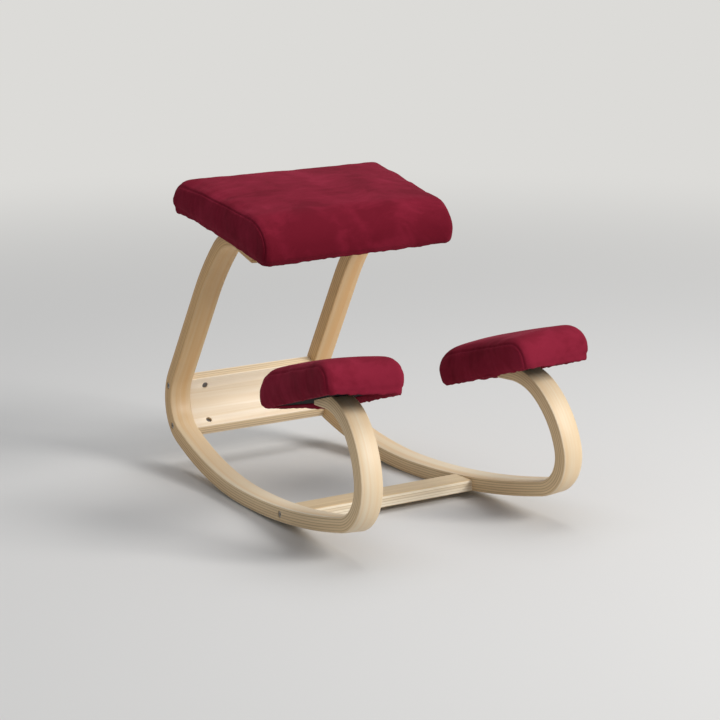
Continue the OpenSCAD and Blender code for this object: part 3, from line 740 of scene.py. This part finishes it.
def hem_rings(skin, c, rim, start):
    """The gathered hem, turned in under the board, and the inner walls that fit round the board.

    "rim" lists the points along the foot, and "start" says where they lay before the foot was
    rounded. The hem hangs lower at some corners, and on one side more than on the other.
    """
    half = c["depth"] / 2
    wave = ripple(start, 12 * MM, c["seed"]) + 0.6 * ripple(start, 7 * MM, c["seed"] + 1)
    sideways = start[:, 0] / half_width(c, start[:, 1])
    corner = np.abs(sideways) ** 5 * np.abs(start[:, 1] / half) ** 5
    corner *= np.array(c["corner_droop"])[2 * (start[:, 1] > 0) + (start[:, 0] > 0)]
    droops = c["droop"] * (1 - c["lift"] * sideways)
    fold = ripple(start, 24 * MM, c["seed"] + 2)
    under = -FIT - HEM_T
    # Share of the hem's width, share of the droop, level before it, and share of the waves
    rings = [
        (0.27, 0.3, 0, 0.3), (0.32, 0.7, 0, 0.8), (0.42, 1, 0, 1), (0.54, 0.95, 0, 1),
        (0.68, 0.8, 0, 0.8), (0.84, 0.55, 0, 0.3), (1, 0, under, 0), (1, 0, -FIT, 0),
    ]
    loops = [rim]
    for share, deep, level, stir in rings:
        inwards = HEM_W * share
        ring = []
        for i, (x, y, _) in enumerate(start):
            d = inwards + FOLD_D * fold[i] * stir
            wide = half_width(c, y)
            lower = (c["wave"] * wave[i] - corner[i]) * stir
            # The inner half of the hem stays below the board
            highest = under if 0.5 < share < 1 else 0
            z = min(level - deep * droops[i] + lower, highest)
            ring.append(skin.add((x * (1 - d / wide), y * (1 - d / half), z), hem=1))
        loops.append(ring)
    for inwards, z in ((BOARD_INSET - FIT, -FIT), (BOARD_INSET - FIT, BOARD_T + FIT)):
        ring = []
        for x, y, _ in start:
            wide = half_width(c, y)
            ring.append(skin.add((x * (1 - inwards / wide), y * (1 - inwards / half), z), hem=1))
        loops.append(ring)
    for one, two in zip(loops, loops[1:]):
        skin.strip(two, one, closed=True)
    middle = skin.add((0, 0, BOARD_T + FIT), hem=1)
    last = loops[-1]
    for i, corner in enumerate(last):
        skin.faces.append([corner, middle, last[(i + 1) % len(last)]])


def cushion_skin(c):
    """The whole closed cover of a cushion, with the hollow for its board."""
    skin = Skin()
    rows = panel_rows(skin, c)
    left = side_rows(skin, c, rows, 1)
    right = side_rows(skin, c, rows, -1)
    rim = rows[0][:-1] + left[:-1] + rows[-1][:0:-1] + right[:0:-1]
    start = np.array([skin.points[i] for i in rim])
    round_foot(skin, c)
    hem_rings(skin, c, rim, start)
    return skin


# The cloth under the foam's pressure

# The simulation's frames and cell size, the height up to which its foot is held, and the farthest
# that it moves a point
SIM_FRAMES, SIM_CELL, SIM_FOOT, SIM_REACH = 20, 5.5 * MM, 5 * MM, 2.5 * MM
# How many of its points each point of the skin follows, the distance that evens out their shares,
# and the heights between which they take hold
SIM_NEAR, SIM_BLUR, SIM_FADE = 20, 5 * MM, (2 * MM, 12 * MM)


def search_tree(points):
    """A tree that finds the nearest of the points."""
    tree = kdtree.KDTree(len(points))
    for i, point in enumerate(points):
        tree.insert(point, i)
    tree.balance()
    return tree


def make_trial(skin):
    """The skin as an even mesh, held along its foot and hem, and half held along its seams."""
    mesh = bpy.data.meshes.new("trial")
    mesh.from_pydata(skin.points, [], skin.faces)
    trial = link("trial", mesh)
    bpy.context.view_layer.objects.active = trial
    remesh = trial.modifiers.new("remesh", "REMESH")
    remesh.mode, remesh.voxel_size = "VOXEL", SIM_CELL
    bpy.ops.object.modifier_apply(modifier=remesh.name)
    tree = search_tree(skin.points)
    pins = trial.vertex_groups.new(name="held")
    for i, point in enumerate(vertex_array(trial.data)):
        near = tree.find(point)[1]
        held = 1.0 if point[2] < SIM_FOOT or skin.on_hem[near] else 0.5 * max(skin.on_seam[near], 0)
        pins.add([i], held, "REPLACE")
    return trial


def press_cloth(trial):
    """Runs the cloth and says how far each vertex has moved."""
    cloth = trial.modifiers.new("cloth", "CLOTH")
    settings = cloth.settings
    settings.quality, settings.mass, settings.air_damping = 5, 0.3, 3
    settings.tension_stiffness = settings.compression_stiffness = 25
    settings.shear_stiffness, settings.bending_stiffness = 8, 0.6
    settings.use_pressure, settings.uniform_pressure_force = True, 4
    settings.vertex_group_mass, settings.pin_stiffness = "held", 1
    settings.shrink_min = settings.shrink_max = -0.012
    settings.effector_weights.gravity = 0
    cloth.point_cache.frame_start, cloth.point_cache.frame_end = 1, SIM_FRAMES
    scene = bpy.context.scene
    for number in range(1, SIM_FRAMES + 1):
        scene.frame_set(number)
    shown = trial.evaluated_get(bpy.context.evaluated_depsgraph_get())
    moved = vertex_array(shown.data) - vertex_array(trial.data)
    scene.frame_set(1)
    length = np.linalg.norm(moved, axis=1)
    return moved * (np.minimum(length, SIM_REACH) / np.maximum(length, 1e-9))[:, None]


def settle(skin):
    """How far each point of a skin moves when the stuffing presses on its cloth."""
    trial = make_trial(skin)
    moved = press_cloth(trial)
    tree = search_tree(vertex_array(trial.data))
    bpy.data.objects.remove(trial, do_unlink=True)
    points = np.array(skin.points)
    result = np.zeros_like(points)
    for i, point in enumerate(points):
        found = tree.find_n(point, SIM_NEAR)
        weights = np.array([1 / (f[2] + SIM_BLUR) for f in found])
        result[i] = (moved[[f[1] for f in found]] * weights[:, None]).sum(axis=0) / weights.sum()
    free = smoothstep(points[:, 2], *SIM_FADE) * (1 - np.array(skin.on_hem))
    return result * free[:, None]


def distances(points, chosen):
    """How far each point lies from the nearest chosen one."""
    tree = search_tree(points[chosen])
    return np.array([tree.find(point)[2] for point in points])


def outward(points, faces):
    """The outward direction at each point of a closed skin."""
    mesh = bpy.data.meshes.new("normals")
    mesh.from_pydata(points, [], faces)
    normals = vertex_array(mesh, "normal")
    bpy.data.meshes.remove(mesh)
    return normals


# How far a seam's puckers reach, and the heights between which the hem's gathers fade
PUCKER_REACH, GATHER_HEIGHTS = 11 * MM, (1 * MM, 19 * MM)
# Depths of the puckers, the gathers, the slow unevenness of the stuffing, and the seam
PUCKER_D, GATHER_D, SLOW_D, SEAM_D = 0.55 * MM, 0.75 * MM, 0.75 * MM, 1.3 * MM


def tailored(skin, c):
    """The skin's points with a sunk seam, puckers beside it and gathers up from the hem."""
    points = np.array(skin.points)
    faces = [face[::-1] for face in skin.faces]
    points = points + settle(skin)
    normals = outward(points, faces)
    seam, hem = np.array(skin.on_seam), np.array(skin.on_hem)
    beside = np.exp(-(distances(points, seam == 1) / PUCKER_REACH) ** 2)
    seed = c["seed"]
    puckers = ripple(points * (1, 0.8, 1.4), 13 * MM, seed + 3)
    puckers += 0.5 * ripple(points, 7 * MM, seed + 4)
    gathers = ripple(points * (1, 1, 0.22), 9 * MM, seed + 5)
    gathers += 0.5 * ripple(points * (1, 1, 0.3), 19 * MM, seed + 6)
    low = 1 - smoothstep(points[:, 2], *GATHER_HEIGHTS)
    slow = ripple(points, 85 * MM, seed + 7) + 0.5 * ripple(points, 38 * MM, seed + 8)
    push = PUCKER_D * puckers * beside + GATHER_D * gathers * low + SLOW_D * slow
    push -= SEAM_D * seam
    return points + normals * (push * (1 - hem))[:, None], faces


def board_matrix(node_name, turn):
    """From a cushion's own frame to the chair. Its zero is the middle of the board's underside."""
    low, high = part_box(node_name)
    middle = (Vector(low) + Vector(high)) / 2
    return Matrix.Translation(middle) @ turn @ Matrix.Translation((0, 0, -BOARD_T / 2))


def knee_turn(side):
    """The turn of a knee pad, which follows its runner's lean and splay."""
    turn = side_matrix(side).to_3x3().to_4x4() @ Matrix.Rotation(KNEE_TILT, 4, "Z")
    return turn @ Matrix.Rotation(-math.pi / 2, 4, "X") @ Matrix.Rotation(math.pi / 2, 4, "Z")


def place(name, points, faces, matrix, material):
    """A piece whose attribute "cloth" keeps each point's place in the cushion's own frame."""
    turn = np.array(matrix)
    if matrix.determinant() < 0:
        faces = [face[::-1] for face in faces]
    mesh = bpy.data.meshes.new(name)
    mesh.from_pydata(points @ turn[:3, :3].T + turn[:3, 3], [], faces)
    held = mesh.attributes.new("cloth", "FLOAT_VECTOR", "POINT")
    held.data.foreach_set("vector", points.astype(np.float32).ravel())
    mesh.materials.append(material)
    mesh.shade_smooth()
    return link(name, mesh)


def make_cushion(name, c, matrix, replaced):
    """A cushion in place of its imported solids."""
    skin = cushion_skin(c)
    points, faces = tailored(skin, c)
    piece = place(name, points, faces, matrix, SUEDE)
    # Painted shade on the seat's front and painted light on the knee pads' fronts, growing towards
    # the front edge
    painted_light_shade = c["front_painted_light_shade"] * smoothstep(-points[:, 1], c["depth"] * 0.28, c["depth"] * 0.5)
    held = piece.data.attributes.new("painted_light_shade", "FLOAT", "POINT")
    held.data.foreach_set("value", painted_light_shade.astype(np.float32))
    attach(piece, "root")
    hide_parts(*replaced)


# Spacing of a dust cloth's points, and its thickness and creases
CLOTH_GAP, CLOTH_T, CREASE_D = 6 * MM, 0.5 * MM, 0.08 * MM
# How far it lies below the board and inside the hem
CLOTH_DROP, CLOTH_INSET = 0.1 * MM, 1 * MM


def make_dust_cloth(name, c, matrix, replaced):
    """A thin black sheet, stretched under a board inside the hem."""
    half = c["depth"] / 2
    inset = HEM_W + CLOTH_INSET
    across_n, along_n = int(c["front_w"] / CLOTH_GAP), int(c["depth"] / CLOTH_GAP)
    rows = []
    for j in range(along_n + 1):
        v = 2 * j / along_n - 1
        y = v * (half - inset)
        wide = half_width(c, y) - inset - drawn_in(c, y)
        rows.append([(wide * (2 * i / across_n - 1), y) for i in range(across_n + 1)])
    flat = np.array([q for row in rows for q in row])
    places = np.column_stack([flat, np.zeros(len(flat))])
    creases = ripple(places * (1, 0.5, 1), 16 * MM, c["seed"] + 9)
    layers = [np.column_stack([flat, CREASE_D * creases - CLOTH_DROP - t]) for t in (0, CLOTH_T)]
    points, faces = np.vstack(layers), []
    n, m = across_n + 1, len(flat)
    for j in range(along_n):
        for i in range(across_n):
            a, b = j * n + i, j * n + i + 1
            faces += [[a, b, b + n, a + n], [a + m + n, b + m + n, b + m, a + m]]
    rim = list(range(n)) + [j * n + n - 1 for j in range(1, along_n + 1)]
    rim += [along_n * n + i for i in range(n - 2, -1, -1)]
    rim += [j * n for j in range(along_n - 1, 0, -1)]
    for k, a in enumerate(rim):
        b = rim[(k + 1) % len(rim)]
        faces.append([b, a, a + m, b + m])
    piece = place(name, points, faces, matrix, BLACK_CLOTH)
    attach(piece, "root")
    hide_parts(replaced)


# The camera and the chair's pieces

make_camera()
dress_runners()
dress_panel()
dress_bar()

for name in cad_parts:
    if "bolts" in name:
        dress(name, BOLT_STEEL, bevel=0.25 * MM)
    elif "nuts" in name:
        dress(name, ZINC)
    elif "dowels" in name or "board" in name:
        node = dress(name, RAW_PLY)
        give_grain(node, vertex_array(node.data))

seat_at = board_matrix("seat_board", Matrix.Rotation(SEAT_TILT, 4, "X"))
make_cushion("seat_cushion", SEAT, seat_at, ("seat_cover", "seat_foam"))
make_dust_cloth("seat_underlining", SEAT, seat_at, "seat_dust_cloth")
for name, side in SIDES.items():
    board, old_cloth = f"knee_board_{name}", f"knee_dust_cloth_{name}"
    pad_at = board_matrix(board, knee_turn(side))
    pad = dict(PAD, seed=PAD["seed"] + 5 * side, lift=PAD["lift"] * side)
    make_cushion(f"knee_pad_{name}", pad, pad_at, (f"knee_cover_{name}", f"knee_foam_{name}"))
    make_dust_cloth(f"knee_underlining_{name}", pad, pad_at, old_cloth)


# Floor, backdrop and light

FLOOR_COLOUR = (0.66, 0.655, 0.645, 1)
BACKDROP_COLOUR = rgb("DCDBD8")
WORLD_COLOUR, WORLD_STRENGTH = (0.95, 0.97, 1, 1), 0.38
# Each lamp is (place, aim, size, power, colour)
LAMPS = {
    "key": ((2.1, -3.2, 2.5), (0, 0, 0.3), 1.7, 144, (1, 0.985, 0.965)),
    "top": ((0.5, 0.2, 3.6), (0, 0, 0.2), 2.4, 48, (1, 1, 1)),
}
FLOOR_R, FLOOR_CORNERS = 30.0, 64
# Distances between which the floor takes the backdrop's colour
FADE_START, FADE_END = 1.1, 3.6


def seen_directly(tree):
    """1 for rays that show the surroundings, and 0 for rays by which they only light the chair."""
    path = tree.nodes.new("ShaderNodeLightPath")
    value = path.outputs["Is Camera Ray"]
    for name in ("Is Glossy Ray", "Is Transmission Ray"):
        most = tree.nodes.new("ShaderNodeMath")
        most.operation = "MAXIMUM"
        tree.links.new(value, most.inputs[0])
        tree.links.new(path.outputs[name], most.inputs[1])
        value = most.outputs[0]
    return value


def make_stage():
    """A round pale floor that fades into the colour of the backdrop on all sides."""
    mesh = bpy.data.meshes.new("stage")
    turns = [2 * math.pi * i / FLOOR_CORNERS for i in range(FLOOR_CORNERS)]
    points = [(FLOOR_R * math.cos(a), FLOOR_R * math.sin(a), 0) for a in turns]
    mesh.from_pydata(points, [], [list(range(FLOOR_CORNERS))])
    stage = link("stage", mesh)
    n = Nodes("stage_paint")
    mesh.materials.append(n.finish(Base_Color=FLOOR_COLOUR, Roughness=0.6, Specular_IOR_Level=0.0))
    place = n.add("ShaderNodeTexCoord").outputs["Object"]
    away = n.maths("SQRT", n.dot(place, place))
    fade = n.maths("MULTIPLY", n.ramp(away, FADE_START, FADE_END), seen_directly(n.tree))
    glow = n.add("ShaderNodeEmission", {"Color": BACKDROP_COLOUR, "Strength": 1.0})
    paint = n.add("ShaderNodeMixShader", {0: fade, 1: n.shader.outputs[0], 2: glow.outputs[0]})
    n.put(n.output.inputs["Surface"], paint.outputs[0])


def make_lights():
    """A soft key lamp from the front left, a soft lamp from above and an even world."""
    for name, lamp in LAMPS.items():
        area_light(name, *lamp)
    world = bpy.data.worlds.new("studio")
    world.use_nodes = True
    tree = world.node_tree
    plain = tree.nodes["Background"]
    plain.inputs["Color"].default_value = WORLD_COLOUR
    plain.inputs["Strength"].default_value = WORLD_STRENGTH
    backdrop = tree.nodes.new("ShaderNodeBackground")
    backdrop.inputs["Color"].default_value = BACKDROP_COLOUR
    both = tree.nodes.new("ShaderNodeMixShader")
    tree.links.new(seen_directly(tree), both.inputs[0])
    tree.links.new(plain.outputs[0], both.inputs[1])
    tree.links.new(backdrop.outputs[0], both.inputs[2])
    tree.links.new(both.outputs[0], tree.nodes["World Output"].inputs["Surface"])
    bpy.context.scene.world = world


make_stage()
make_lights()
bpy.context.scene.view_settings.view_transform = "Standard"
